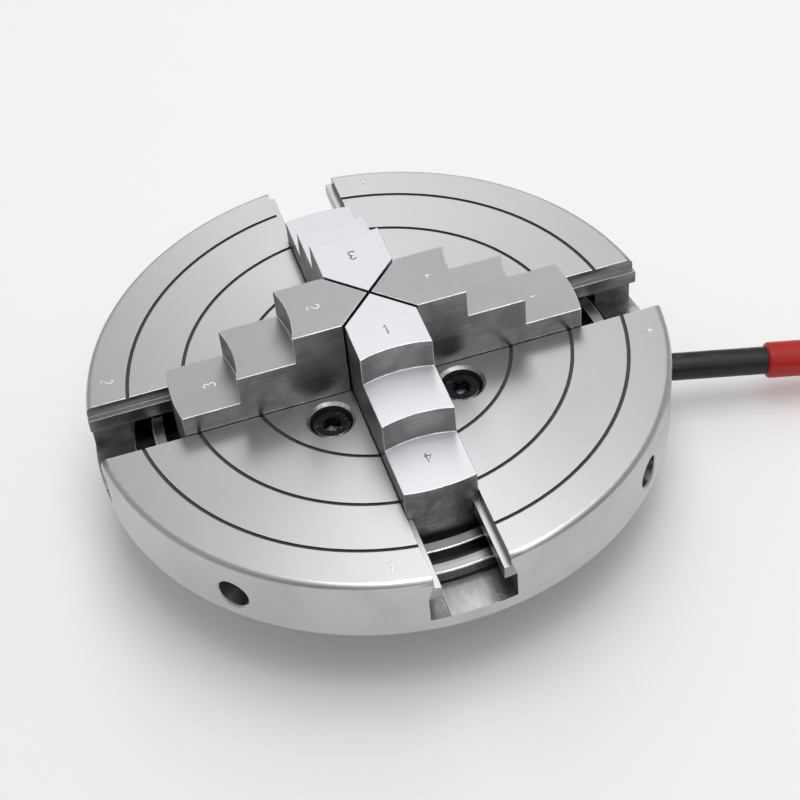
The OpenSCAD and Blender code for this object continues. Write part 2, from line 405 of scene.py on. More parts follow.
def new_group(name, inputs, outputs):
    """An empty shader node group with named number sockets, and its two end nodes."""
    group = bpy.data.node_groups.new(name, "ShaderNodeTree")
    for label, default in inputs:
        socket = group.interface.new_socket(
            label, in_out="INPUT", socket_type="NodeSocketFloat"
        )
        socket.default_value = default
    for label in outputs:
        group.interface.new_socket(
            label, in_out="OUTPUT", socket_type="NodeSocketFloat"
        )
    start = group.nodes.new("NodeGroupInput")
    end = group.nodes.new("NodeGroupOutput")
    start.location, end.location = (-900, 0), (700, 0)
    return group, start, end


def feed(tree, socket, value):
    """Links a socket to an input, or sets the input to a number or a colour."""
    if isinstance(value, bpy.types.NodeSocket):
        tree.links.new(value, socket)
    elif socket.type == "RGBA":
        socket.default_value = (*value, 1.0)
    else:
        socket.default_value = value


def set_up(tree, node, **values):
    """Feeds a node's inputs by name, with underscores for spaces."""
    for label, value in values.items():
        feed(tree, node.inputs[label.replace("_", " ")], value)


def math_node(tree, operation, *values, clamp=False):
    """A Math node fed by sockets or numbers; gives back its output socket."""
    node = tree.nodes.new("ShaderNodeMath")
    node.operation = operation
    node.use_clamp = clamp
    for socket, value in zip(node.inputs, values):
        feed(tree, socket, value)
    return node.outputs[0]


def noise_node(tree, place, scale, detail=2.0, roughness=0.5, distortion=0.0):
    """A Noise texture; gives back its output socket."""
    node = tree.nodes.new("ShaderNodeTexNoise")
    set_up(
        tree,
        node,
        Vector=place,
        Scale=scale,
        Detail=detail,
        Roughness=roughness,
        Distortion=distortion,
    )
    return node.outputs["Fac"]


def fade_node(tree, value, start, end, kind="LINEAR"):
    """A Map Range from 0 at start to 1 at end; gives back its output socket."""
    node = tree.nodes.new("ShaderNodeMapRange")
    node.interpolation_type = kind
    set_up(tree, node, Value=value, From_Min=start, From_Max=end)
    return node.outputs[0]


def object_place(tree):
    """Place in the piece's own frame, which is the chuck's frame."""
    return tree.nodes.new("ShaderNodeTexCoord").outputs["Object"]


def lathe_coordinates(tree):
    """Distance from the axis, height and turn around the axis, in mm and radians."""
    split = tree.nodes.new("ShaderNodeSeparateXYZ")
    tree.links.new(object_place(tree), split.inputs[0])
    x, y, z = split.outputs
    square = math_node(
        tree,
        "ADD",
        math_node(tree, "MULTIPLY", x, x),
        math_node(tree, "MULTIPLY", y, y),
    )
    reach = math_node(tree, "SQRT", square)
    return (
        math_node(tree, "MULTIPLY", reach, MM_PER_METRE),
        math_node(tree, "MULTIPLY", z, MM_PER_METRE),
        math_node(tree, "ARCTAN2", y, x),
    )


def build_tool_marks():
    """Fine parallel marks left by turning and grinding, in lathe coordinates."""
    group, start, end = new_group(
        "tool marks",
        (("Rings per mm", 3.0), ("Levels per mm", 3.0), ("Turns", 1.0)),
        ("Fine", "Broad"),
    )
    gather = group.nodes.new("ShaderNodeCombineXYZ")
    for socket, value, share in zip(
        gather.inputs, lathe_coordinates(group), start.outputs
    ):
        feed(group, socket, math_node(group, "MULTIPLY", value, share))
    for label, scale, detail in (("Fine", 1.0, 3.0), ("Broad", 0.16, 2.0)):
        noise = noise_node(group, gather.outputs[0], scale, detail, roughness=0.6)
        feed(group, end.inputs[label], noise)
    return group


def build_oil_film():
    """Cloudy patches of a thin protective oil, with a few small spots."""
    group, start, end = new_group(
        "oil film", (("Patch size mm", 30.0), ("Spots", 0.3)), ("Film", "Spots")
    )
    place = object_place(group)
    scale = math_node(group, "DIVIDE", MM_PER_METRE, start.outputs["Patch size mm"])
    clouds = noise_node(group, place, scale, detail=4.0, distortion=0.6)
    feed(group, end.inputs["Film"], fade_node(group, clouds, 0.4, 0.68, "SMOOTHSTEP"))
    cells = group.nodes.new("ShaderNodeTexVoronoi")
    set_up(group, cells, Vector=place, Scale=160.0)
    dots = fade_node(group, cells.outputs["Distance"], 0.09, 0.03)
    gate = math_node(group, "GREATER_THAN", noise_node(group, place, 45.0), 0.6)
    spots = math_node(group, "MULTIPLY", dots, gate)
    spots = math_node(group, "MULTIPLY", spots, start.outputs["Spots"])
    feed(group, end.inputs["Spots"], spots)
    return group


def build_grime():
    """Uneven dried coolant and dirt, thicker in some places than in others."""
    group, start, end = new_group("grime", (("Grain mm", 1.2),), ("Cover", "Height"))
    scale = math_node(group, "DIVIDE", MM_PER_METRE, start.outputs["Grain mm"])
    lumps = noise_node(group, object_place(group), scale, detail=5.0, roughness=0.7)
    feed(group, end.inputs["Cover"], fade_node(group, lumps, 0.35, 0.65))
    feed(group, end.inputs["Height"], lumps)
    return group


def build_scuffs():
    """Short pale scuffs and rub marks that run along the lever."""
    group, start, end = new_group(
        "scuffs", (("Length mm", 4.0), ("Cover", 0.5)), ("Scuffs",)
    )
    scale = math_node(group, "DIVIDE", MM_PER_METRE, start.outputs["Length mm"])
    lie = group.nodes.new("ShaderNodeVectorRotate")
    lie.rotation_type = "Z_AXIS"
    set_up(group, lie, Vector=object_place(group), Angle=math.radians(-LEVER_LEAN))
    stretch = group.nodes.new("ShaderNodeVectorMath")
    stretch.operation = "MULTIPLY"
    stretch.inputs[1].default_value = (0.25, 1.0, 1.0)
    feed(group, stretch.inputs[0], lie.outputs[0])
    streaks = noise_node(group, stretch.outputs[0], scale, detail=6.0, roughness=0.75)
    half_cover = math_node(group, "MULTIPLY", start.outputs["Cover"], 0.5)
    level = math_node(group, "SUBTRACT", 1.0, half_cover)
    edge = math_node(group, "SUBTRACT", streaks, level)
    feed(group, end.inputs["Scuffs"], math_node(group, "MULTIPLY", edge, 9.0, clamp=True))
    return group


def place_group(tree, group, **values):
    node = tree.nodes.new("ShaderNodeGroup")
    node.node_tree = group
    set_up(tree, node, **values)
    return node


def mix_colours(tree, factor, low, high):
    node = tree.nodes.new("ShaderNodeMix")
    node.data_type = "RGBA"
    # inputs 6 and 7 and output 2 are the node's colour sockets
    for index, value in ((0, factor), (6, low), (7, high)):
        feed(tree, node.inputs[index], value)
    return node.outputs[2]


def tinted(colour, *shares):
    """A colour times one share, or times one for each channel."""
    if len(shares) == 1:
        shares *= 3
    return tuple(min(1.0, c * share) for c, share in zip(colour, shares))


def start_material(name):
    material = bpy.data.materials.new(name)
    material.use_nodes = True
    tree = material.node_tree
    shader = tree.nodes["Principled BSDF"]
    return material, tree, shader


def blend_numbers(tree, base, *shares):
    """base plus each (socket, amount) centred on a half."""
    total = base
    for socket, amount in shares:
        offset = math_node(tree, "MULTIPLY_ADD", socket, amount, -0.5 * amount)
        total = math_node(tree, "ADD", total, offset)
    return total


def bump(tree, shader, height, distance):
    node = tree.nodes.new("ShaderNodeBump")
    set_up(tree, node, Strength=1.0, Distance=distance * MM, Height=height)
    tree.links.new(node.outputs[0], shader.inputs["Normal"])


def worked_steel(
    name,
    groups,
    bright,
    dull,
    roughness,
    rings,
    levels,
    turns=1.0,
    grain=0.25,
    marks=0.0015,
    film=0.06,
    patch=30.0,
    spots=0.25,
    grit=0.0,
    around=0.0,
    lie_axis="Z",
):
    """A machined steel: tool marks in colour, gloss and surface, under an oil film."""
    material, tree, shader = start_material(name)
    tool = place_group(
        tree, groups["tool marks"], Rings_per_mm=rings, Levels_per_mm=levels, Turns=turns
    )
    oil = place_group(tree, groups["oil film"], Patch_size_mm=patch, Spots=spots)
    fine, broad = tool.outputs["Fine"], tool.outputs["Broad"]
    tone = blend_numbers(tree, 0.5, (fine, grain * 3.0), (broad, grain * 3.0))
    tone = math_node(tree, "ADD", tone, 0.0, clamp=True)
    metal = mix_colours(tree, tone, dull, bright)
    clouds = math_node(tree, "MULTIPLY", oil.outputs["Film"], film)
    metal = mix_colours(tree, clouds, metal, tinted(dull, 0.86))
    metal = mix_colours(tree, oil.outputs["Spots"], metal, tinted(dull, 0.45))
    gloss = blend_numbers(
        tree,
        roughness,
        (broad, roughness * 0.12),
        (oil.outputs["Film"], roughness * 0.5 * film),
    )
    set_up(tree, shader, Base_Color=metal, Roughness=gloss, Metallic=1.0)
    if around:
        set_up(tree, shader, Anisotropic=around, Anisotropic_Rotation=0.25)
        lie = tree.nodes.new("ShaderNodeTangent")
        lie.direction_type = "RADIAL"
        lie.axis = lie_axis
        tree.links.new(lie.outputs[0], shader.inputs["Tangent"])
    surface = math_node(tree, "MULTIPLY", fine, marks)
    if grit:
        dirt = place_group(tree, groups["grime"], Grain_mm=1.2)
        surface = math_node(tree, "MULTIPLY_ADD", dirt.outputs["Height"], grit, surface)
    bump(tree, shader, surface, 1.0)
    return material


def packed_dirt_and_shade(name, groups, dark, light):
    """Dirt dried into a groove, darkened further as painted shade in the recess."""
    material, tree, shader = start_material(name)
    dirt = place_group(tree, groups["grime"], Grain_mm=1.6)
    cover, height = dirt.outputs["Cover"], dirt.outputs["Height"]
    set_up(
        tree,
        shader,
        Base_Color=mix_colours(tree, cover, dark, light),
        Roughness=math_node(tree, "MULTIPLY_ADD", height, 0.4, 0.4),
    )
    bump(tree, shader, height, 0.15)
    return material


def blackened_steel(
    name,
    groups,
    black,
    rubbed,
    roughness,
    scuffs,
    length,
    metallic=0.55,
    shine=0.5,
):
    """Black oxide over turned steel, rubbed through in small places."""
    material, tree, shader = start_material(name)
    tool = place_group(
        tree, groups["tool marks"], Rings_per_mm=1.5, Levels_per_mm=1.5, Turns=2.0
    )
    rub = place_group(tree, groups["scuffs"], Length_mm=length, Cover=scuffs)
    oil = place_group(tree, groups["oil film"], Patch_size_mm=9.0, Spots=0.2)
    film, fine = oil.outputs["Film"], tool.outputs["Fine"]
    colour = mix_colours(tree, film, black, tinted(black, 1.5))
    set_up(
        tree,
        shader,
        Base_Color=mix_colours(tree, rub.outputs["Scuffs"], colour, rubbed),
        Roughness=blend_numbers(tree, roughness, (film, 0.16), (fine, 0.1)),
        Metallic=metallic,
        Specular_IOR_Level=shine,
    )
    bump(tree, shader, fine, 0.01)
    return material


def dipped_vinyl(name, groups, red, dull_red):
    """Soft vinyl that a grip is dipped in: glossy, slightly wavy, with a little dust."""
    material, tree, shader = start_material(name)
    oil = place_group(tree, groups["oil film"], Patch_size_mm=14.0, Spots=0.5)
    waves = place_group(tree, groups["grime"], Grain_mm=5.0)
    film = oil.outputs["Film"]
    set_up(
        tree,
        shader,
        Base_Color=mix_colours(tree, film, red, dull_red),
        Roughness=math_node(tree, "MULTIPLY_ADD", film, 0.12, 0.3),
        Subsurface_Weight=0.08,
        Subsurface_Radius=(0.004, 0.0012, 0.001),
        Subsurface_Scale=0.5,
        Specular_IOR_Level=0.3,
        Coat_Weight=0.06,
        Coat_Roughness=0.15,
    )
    bump(tree, shader, waves.outputs["Height"], 0.12)
    return material


MATERIALS = {}

# Each steel: its material, its bright and dull tones as shares of the steel's colour,
# its roughness, and how its marks and film differ from a plain worked steel.
STEELS = {
    # the rim's turned marks are real; its tone, lighter than the face, is painted light
    "turned rim": ("turned_rim_steel", 1.12, 1.02, 0.36, {
        "rings": 2.0, "levels": 2.0, "turns": 0.8, "grain": 0.3,
        "film": 0.3, "patch": 24.0, "spots": 0.4, "around": 0.6,
    }),
    # softened edges and chamfers: a lighter steel as painted highlight
    "painted edge highlight": ("edge_steel_painted_highlight", 1.75, 1.05, 0.42, {
        "rings": 0.9, "levels": 0.9, "turns": 60.0, "grain": 0.9,
    }),
    "milled slot": ("milled_slot_steel", 0.86, 0.42, 0.3, {
        "rings": 0.12, "levels": 1.2, "turns": 60.0, "grain": 0.35,
        "marks": 0.002, "film": 0.25, "patch": 14.0, "grit": 0.012,
    }),
    # rough, pitted, oily channel steel, darker in the undercut as painted shade
    "slot channel with painted shade": ("rough_slot_channel_steel_with_painted_shade", 0.8, 0.36, 0.4, {
        "rings": 0.12, "levels": 1.0, "turns": 20.0, "grain": 0.4,
        "film": 0.7, "patch": 7.0, "spots": 0.7, "grit": 0.16,
    }),
    # jaw sides: real grinding marks, in a tone darker than the tops as painted shade
    "jaw side": ("ground_jaw_side_steel", 0.78, 0.52, 0.36, {
        "rings": 0.12, "levels": 4.0, "turns": 2.0, "grain": 0.5, "marks": 0.005,
        "film": 0.6, "patch": 9.0, "spots": 0.6, "grit": 0.05,
    }),
    # thread lands and flanks: a lit and a shaded copy of one steel, as painted light and
    # painted shade
    "scroll": ("scroll_thread_steel_painted_light", 1.05, 0.7, 0.36, {
        "rings": 2.5, "levels": 2.5, "grain": 0.5,
        "film": 0.35, "patch": 16.0, "around": 0.5,
    }),
    "scroll flank in painted shade": ("thread_flank_steel_painted_shade", 0.5, 0.22, 0.3, {
        "rings": 1.5, "levels": 2.0, "grain": 0.6,
        "film": 0.7, "patch": 8.0, "around": 0.5,
    }),
    "plate": ("turned_plate_steel", 0.92, 0.74, 0.32, {
        "rings": 1.6, "levels": 1.6, "turns": 0.6, "grain": 0.5,
        "marks": 0.004, "around": 0.6,
    }),
    "pin": ("ground_pin_steel", 1.1, 1.0, 0.2, {"rings": 1.0, "levels": 6.0}),
    # stamped lines: a lit and a shaded copy of one steel, as painted highlight and painted
    # shade
    "bright number": ("stamped_bright_number", 1.75, 1.225, 0.45, {
        "rings": 1.0, "levels": 1.0, "turns": 30.0,
    }),
    "dark number": ("stamped_dark_number", 0.55, 0.385, 0.35, {
        "rings": 1.0, "levels": 1.0, "turns": 30.0,
    }),
}

# Each blackened steel: its material, its black as a share of the oxide's colour, the
# colour of its rubbed places, its roughness, and the rest.
BLACKS = {
    "screw": ("black_screw_oxide", 0.7, (0.3, 0.3, 0.3), 0.18, {
        "scuffs": 0.84, "length": 1.0, "metallic": 0.3, "shine": 0.22,
    }),
    # screw edges: worn steel with a painted glint on the head's chamfer, a painted
    # highlight in the socket's cone
    "screw edge": ("worn_screw_edge", 8.0, (0.75, 0.75, 0.76), 0.24, {
        "scuffs": 0.9, "length": 0.9, "metallic": 0.95,
    }),
    "bar": ("black_bar_oxide", 1.0, (0.25, 0.26, 0.27), 0.42, {
        "scuffs": 0.75, "length": 2.2,
    }),
}
JAW_TOP_TINT = (0.85, 0.855, 0.87)


def build_materials():
    """Builds the shared effects and every finish once."""
    if MATERIALS:
        return
    finish = bpy.context.scene.chuck_finishes
    groups = {
        "tool marks": build_tool_marks(),
        "oil film": build_oil_film(),
        "grime": build_grime(),
        "scuffs": build_scuffs(),
    }
    steel = tuple(finish.steel)
    for label, (name, bright, dull, roughness, marks) in STEELS.items():
        MATERIALS[label] = worked_steel(
            name, groups, tinted(steel, bright), tinted(steel, dull), roughness, **marks
        )
    MATERIALS["ground face"] = worked_steel(
        "ground_face_steel",
        groups,
        tinted(steel, 0.82),
        tinted(steel, 0.76),
        finish.face_roughness,
        rings=2.2,
        levels=2.2,
        turns=1.3,
        around=0.66,
    )
    # each jaw is ground across its width, so the two pairs catch the light apart
    jaw_steel = tinted(steel, *JAW_TOP_TINT)
    for label, axis in (("jaw top 1 3", "Y"), ("jaw top 2 4", "X")):
        MATERIALS[label] = worked_steel(
            "ground_" + label.replace(" ", "_"),
            groups,
            jaw_steel,
            tinted(jaw_steel, 0.88),
            finish.jaw_roughness,
            rings=3.2,
            levels=3.2,
            turns=0.4,
            grain=0.1,
            around=0.9,
            lie_axis=axis,
        )
    MATERIALS["grime"] = packed_dirt_and_shade(
        "groove_dirt_and_painted_shade", groups, tuple(finish.grime), tinted(finish.grime, 2.2)
    )
    for label, (name, share, rubbed, roughness, wear) in BLACKS.items():
        MATERIALS[label] = blackened_steel(
            name, groups, tinted(finish.black, share), rubbed, roughness, **wear
        )
    MATERIALS["grip"] = dipped_vinyl(
        "red_dipped_vinyl", groups, tuple(finish.grip_red), tinted(finish.grip_red, 0.85)
    )


def give(piece, *finishes):
    """Gives a piece its finishes; the first one covers what isn't painted."""
    build_materials()
    piece.data.materials.clear()
    for finish in finishes:
        piece.data.materials.append(MATERIALS[finish])


# ---------------------------------------------------------------- settings


class ChuckSizes(bpy.types.PropertyGroup):
    edge_break: bpy.props.FloatProperty(
        name="Edge break",
        description="Width of the softened edges",
        default=0.25 * MM,
        min=0.05 * MM,
        max=0.6 * MM,
        unit="LENGTH",
        precision=5,
    )
    number_height: bpy.props.FloatProperty(
        name="Number height",
        description="Height of the stamped position numbers",
        default=4.0 * MM,
        min=2.0 * MM,
        max=6.0 * MM,
        unit="LENGTH",
        precision=5,
    )
    number_stroke: bpy.props.FloatProperty(
        name="Number stroke",
        description="Width of a stamped line",
        default=0.74 * MM,
        min=0.2 * MM,
        max=1.0 * MM,
        unit="LENGTH",
        precision=5,
    )
    number_depth: bpy.props.FloatProperty(
        name="Number depth",
        description="Depth of a stamped line",
        default=0.26 * MM,
        min=0.05 * MM,
        max=0.4 * MM,
        unit="LENGTH",
        precision=5,
    )
    knurl_ridges: bpy.props.IntProperty(
        name="Knurl ridges",
        description="Ridges around a screw head",
        default=44,
        min=24,
        max=60,
    )


class ChuckFinishes(bpy.types.PropertyGroup):
    steel: bpy.props.FloatVectorProperty(
        name="Steel",
        description="Colour of the ground steel",
        subtype="COLOR",
        size=3,
        default=(0.53, 0.533, 0.535),
        min=0.0,
        max=1.0,
    )
    face_roughness: bpy.props.FloatProperty(
        name="Face roughness",
        description="Roughness of the body's ground face",
        default=0.34,
        min=0.0,
        max=1.0,
        subtype="FACTOR",
    )
    jaw_roughness: bpy.props.FloatProperty(
        name="Jaw roughness",
        description="Roughness of the ground jaw steps",
        default=0.37,
        min=0.0,
        max=1.0,
        subtype="FACTOR",
    )
    # the ring grooves and counterbore walls take this colour: dirt, darkened as painted
    # shade
    grime: bpy.props.FloatVectorProperty(
        name="Grime",
        description="Colour of the dirt in the ring grooves",
        subtype="COLOR",
        size=3,
        default=(0.03, 0.027, 0.018),
        min=0.0,
        max=1.0,
    )
    black: bpy.props.FloatVectorProperty(
        name="Black oxide",
        description="Colour of the blackened screws and bar",
        subtype="COLOR",
        size=3,
        default=(0.018, 0.019, 0.021),
        min=0.0,
        max=1.0,
    )
    grip_red: bpy.props.FloatVectorProperty(
        name="Grip red",
        description="Colour of the dipped grip",
        subtype="COLOR",
        size=3,
        default=(0.5, 0.016, 0.012),
        min=0.0,
        max=1.0,
    )


class ChuckStage(bpy.types.PropertyGroup):
    long_panel: bpy.props.FloatProperty(
        name="Long panel",
        description="Power of the long panel overhead and behind",
        default=14.3,
        min=0.0,
        max=500.0,
        unit="POWER",
    )
    top_panel: bpy.props.FloatProperty(
        name="Top panel",
        description="Power of the panel straight above",
        default=5.2,
        min=0.0,
        max=500.0,
        unit="POWER",
    )
    room: bpy.props.FloatProperty(
        name="Room light",
        description="Strength of the even light from all around",
        default=0.42,
        min=0.0,
        max=5.0,
    )
    floor_glow: bpy.props.FloatProperty(
        name="Floor glow",
        description="Light that the floor sends back from a lit table",
        default=0.1,
        min=0.0,
        max=1.0,
    )
    floor: bpy.props.FloatVectorProperty(
        name="Floor",
        description="Colour of the plain floor",
        subtype="COLOR",
        size=3,
        default=(0.88, 0.88, 0.885),
        min=0.0,
        max=1.0,
    )


# ---------------------------------------------------------------- pieces


def in_slot(centre):
    """True inside one of the four jaw slots, below the face."""
    across = min(abs(centre.x), abs(centre.y))
    along = max(abs(centre.x), abs(centre.y))
    return (
        across < SLOT_HALF_WIDTH
        and along > SLOT_START
        and SLOT_LOW_Z < centre.z < SLOT_HIGH_Z
    )


def near_screw(spot, within):
    """True within a distance of one of the four screws' axes."""
    return any(
        (Vector((spot.x, spot.y, 0.0)) - polar(SCREW_CIRCLE, azimuth)).length < within
        for azimuth in SCREW_AZIMUTHS.values()
    )


def body_edge_share(first, second, outward):
    """Softens the edges of the face and the guide rails, but no groove or chamfer."""
    middle = (first + second) / 2
    reach = math.hypot(middle.x, middle.y)
    if min(first.z, second.z) > NEAR_FACE_Z:
        chamfered = reach > RIM_CHAMFER_RADIUS or near_screw(middle, COUNTERBORE_LIP)
        grooved = near_groove(middle, GROOVE_EDGE_REACH)
        return 0.0 if chamfered or grooved else 1.0
    across = min(abs(middle.x), abs(middle.y))
    nearest, farthest = RAIL_HALF_WIDTHS
    return 0.8 if nearest < across < farthest and middle.z > RAIL_EDGE_LOW_Z else 0.0


def thread_edge_share(first, second, outward):
    """The thread's outward edges are worn round, and its inward edges a little."""
    if min(first.z, second.z) < THREAD_FLANK_Z:
        return 0.0
    away = outward.dot(Vector((first.x, first.y, 0.0)).normalized())
    return 1.0 if away > 0.3 else 0.3


class CHUCK_OT_body(bpy.types.Operator):
    """Finishes the round body: softened edges in painted highlight, stamped numbers and
    grooves of dirt and painted shade
    """

    bl_idname = "chuck.body"
    bl_label = "Body"

    def execute(self, context):
        piece = finer_copy("chuck_body", "body_finished")
        give(
            piece,
            "ground face",
            "painted edge highlight",
            "milled slot",
            "grime",
            "bright number",
            "turned rim",
            "slot channel with painted shade",
        )
        edge_break = context.scene.chuck_sizes.edge_break / MM
        # the softened face and rail edges get a painted highlight
        soften_edges(piece, edge_break, "painted edge highlight", body_edge_share)
        # the rim's side gets a lighter steel than the face as painted light
        paint_faces(
            piece,
            "turned rim",
            lambda c, n: (
                math.hypot(c.x, c.y) > RIM_WALL_RADIUS
                and RIM_LOW_Z < c.z < JUST_BELOW_FACE
            ),
        )
        paint_faces(piece, "milled slot", lambda c, n: in_slot(c))
        # the undercut channels are darkened as painted shade
        paint_faces(
            piece,
            "slot channel with painted shade",
            lambda c, n: (
                in_slot(c)
                and (c.z < SLOT_FLOOR_Z or c.z < UNDERCUT_TOP_Z and abs(n.z) < 0.5)
            ),
        )
        # the ring grooves get a dark colour that is partly dirt and partly painted shade
        paint_grooves(piece, "grime")
        # the counterbore chamfers get a painted highlight
        paint_faces(
            piece,
            "painted edge highlight",
            lambda c, n: (
                NEAR_FACE_Z - 0.1 < c.z < JUST_BELOW_FACE
                and 0.5 < n.z < 0.9
                and near_screw(c, COUNTERBORE_LIP)
            ),
        )
        # the counterbore walls get the dark groove colour as painted shade
        paint_faces(
            piece,
            "grime",
            lambda c, n: (
                COUNTERBORE_LOW_Z < c.z < JUST_BELOW_FACE - 1.0
                and near_screw(c, COUNTERBORE_WALL)
            ),
        )
        numbers = []
        for jaw, direction in JAW_DIRECTIONS.items():
            azimuth = direction + FACE_NUMBER_TURN
            place = polar(FACE_NUMBER_RADIUS, azimuth, FACE_Z)
            numbers.append((jaw[-1], place, azimuth + 180))
        # the body's numbers are lighter than the face as painted highlight
        stamp_numbers(piece, "bright number", numbers)
        shade(piece, 40)
        stand_for(piece, ["chuck_body"], "chuck")
        return {"FINISHED"}


class CHUCK_OT_jaws(bpy.types.Operator):
    """Finishes the four stepped jaws, each with its two stamped numbers"""

    bl_idname = "chuck.jaws"
    bl_label = "Jaws"

    def execute(self, context):
        edge_break = context.scene.chuck_sizes.edge_break / MM
        for jaw, direction in JAW_DIRECTIONS.items():
            piece = finer_copy(jaw, jaw + "_finished")
            first_pair = jaw in ("jaw_1", "jaw_3")
            top = "jaw top 1 3" if first_pair else "jaw top 2 4"
            # jaws 1 and 3 get numbers darkened as painted shade, jaws 2 and 4 numbers
            # lightened as painted highlight
            number = "dark number" if first_pair else "bright number"
            # the jaw sides are darker than the tops as painted shade
            give(piece, "jaw side", "painted edge highlight", top, number, "slot channel with painted shade")
            # every softened jaw edge gets a painted highlight
            soften_edges(piece, edge_break, "painted edge highlight", lambda a, b, out: 1.0)
            paint_faces(piece, top, lambda c, n: n.z > 0.98 and c.z > FACE_Z + 5)
            # the outer end is left rough, and darker as painted shade
            outward = polar(1.0, direction)
            paint_faces(
                piece,
                "slot channel with painted shade",
                lambda c, n: n.dot(outward) > 0.9 and c.dot(outward) > JAW_END_RADIUS,
            )
            numbers = [
                (numeral, polar(radius, direction, FACE_Z + height), direction + turn)
                for numeral, (radius, height), turn in zip(
                    JAW_NUMERALS[jaw], (TIP_NUMBER, END_NUMBER), (180, 0)
                )
            ]
            stamp_numbers(piece, number, numbers)
            shade(piece)
            stand_for(piece, [jaw], jaw)
        return {"FINISHED"}


class CHUCK_OT_scroll(bpy.types.Operator):
    """Finishes the ring with the spiral thread"""

    bl_idname = "chuck.scroll"
    bl_label = "Scroll ring"

    def execute(self, context):
        piece = finer_copy("scroll_ring", "scroll_ring_finished")
        give(piece, "scroll flank in painted shade", "scroll", "painted edge highlight")
        # the softened thread edges get a painted highlight
        soften_edges(piece, THREAD_EDGE, "painted edge highlight", thread_edge_share)
        # the lands and the plain ring below take the lighter steel; the flanks stay darker
        # as painted shade
        paint_faces(
            piece,
            "scroll",
            lambda c, n: n.z > 0.95 and c.z > THREAD_LAND_Z or c.z < THREAD_ROOT_Z,
        )
        shade(piece)
        stand_for(piece, ["scroll_ring"], "scroll")
        return {"FINISHED"}


class CHUCK_OT_back_plate(bpy.types.Operator):
    """Finishes the back plate that holds the scroll in"""

    bl_idname = "chuck.back_plate"
    bl_label = "Back plate"

    def execute(self, context):
        piece = finer_copy("back_plate", "back_plate_finished")
        give(piece, "plate", "painted edge highlight")
        shade(piece)
        stand_for(piece, ["back_plate"], "chuck")
        return {"FINISHED"}


class CHUCK_OT_screws(bpy.types.Operator):
    """Makes the four black socket head screws with knurled heads"""

    bl_idname = "chuck.screws"
    bl_label = "Body screws"

    def execute(self, context):
        sides = context.scene.chuck_sizes.knurl_ridges * 2
        low, high = (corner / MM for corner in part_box("body_screw_1"))
        top = high.z
        radius = (high.x - low.x) / 2
        middle = (0, 0, top - HEAD_HEIGHT / 2)
        master = add_cylinder("screw", sides, radius, HEAD_HEIGHT, middle)
        # every second side line is pulled in, which makes the knurl
        edit_edges(
            master,
            lambda a, b: (
                abs(a.z - b.z) > HEAD_HEIGHT - 1
                and round(math.atan2(a.y, a.x) / math.tau * sides) % 2 == 0
            ),
        )
        draw_in(KNURL_SHARE, top)
        # plain turned band and chamfer at the top of the head
        edit_faces(master, lambda c, n: n.z > 0.9)
        bpy.ops.mesh.inset(thickness=0.6 * MM)
        bpy.ops.object.mode_set(mode="OBJECT")
        edit_edges(
            master,
            lambda a, b: (
                min(a.z, b.z) > top - 0.01
                and min(math.hypot(a.x, a.y), math.hypot(b.x, b.y)) > radius * 0.94
            ),
        )
        bpy.ops.transform.translate(value=(0, 0, -0.5 * MM))
        # shank: the underside is inset and pushed down, then its end is drawn in
        edit_faces(master, lambda c, n: n.z < -0.9)
        bpy.ops.mesh.inset(thickness=(radius - SHANK_RADIUS) * MM)
        bpy.ops.object.mode_set(mode="OBJECT")
        edit_faces(master, lambda c, n: n.z < -0.9 and math.hypot(c.x, c.y) < 0.5)
        push_out((0, 0, low.z + SHANK_END + HEAD_HEIGHT - top))
        push_out((0, 0, -SHANK_END))
        draw_in(0.82, low.z)
        bpy.ops.object.mode_set(mode="OBJECT")
        # hexagon socket, with a drilled cone at its bottom
        corner = SOCKET_HALF_WIDTH / math.cos(math.pi / 6)
        middle = (0, 0, top + 0.001 - SOCKET_DEPTH / 2)
        key = add_cylinder("socket", 6, corner, SOCKET_DEPTH, middle)
        edit_faces(key, lambda c, n: n.z < -0.9)
        bpy.ops.mesh.inset(thickness=0.45 * MM)
        push_out((0, 0, -0.7))
        draw_in(0.02, top)
        bpy.ops.object.mode_set(mode="OBJECT")
        cut_away(master, [key])
        give(master, "screw", "screw edge")
        # the head's top chamfer: worn steel with a painted glint
        paint_faces(
            master, "screw edge", lambda c, n: c.z > top - 0.55 and 0.3 < n.z < 0.95
        )
        # the cone facet at the socket's bottom: a painted highlight
        paint_faces(
            master,
            "screw edge",
            lambda c, n: -1.0 < c.z - top + SOCKET_DEPTH < -0.02 and n.z > 0.2,
        )
        pieces = [master.copy(), master.copy(), master.copy(), master]
        for piece in pieces[:3]:
            piece.data = master.data.copy()
            context.scene.collection.objects.link(piece)
        for piece, (number, azimuth) in zip(pieces, SCREW_AZIMUTHS.items()):
            piece.name = f"body_screw_{number}_finished"
            turn = Matrix.Rotation(math.radians(azimuth + 17 * number), 4, "Z")
            place = Matrix.Translation(polar(SCREW_CIRCLE, azimuth) * MM)
            piece.data.transform(place @ turn)
            shade(piece, 35)
            stand_for(piece, [f"body_screw_{number}"], "chuck")
        return {"FINISHED"}


class CHUCK_OT_dowels(bpy.types.Operator):
    """Makes the two ground dowel pins"""

    bl_idname = "chuck.dowels"
    bl_label = "Dowel pins"

    def execute(self, context):
        for number in (1, 2):
            low, high = (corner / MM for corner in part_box(f"dowel_pin_{number}"))
            size = high - low
            piece = add_cylinder(
                f"dowel_pin_{number}_finished", 48, size.x / 2, size.z, (low + high) / 2
            )
            round_edges(piece, 0.5, 3, lambda a, b: abs(a.z - b.z) < 0.01)
            give(piece, "pin")
            shade(piece, 35)
            stand_for(piece, [f"dowel_pin_{number}"], "chuck")
        return {"FINISHED"}


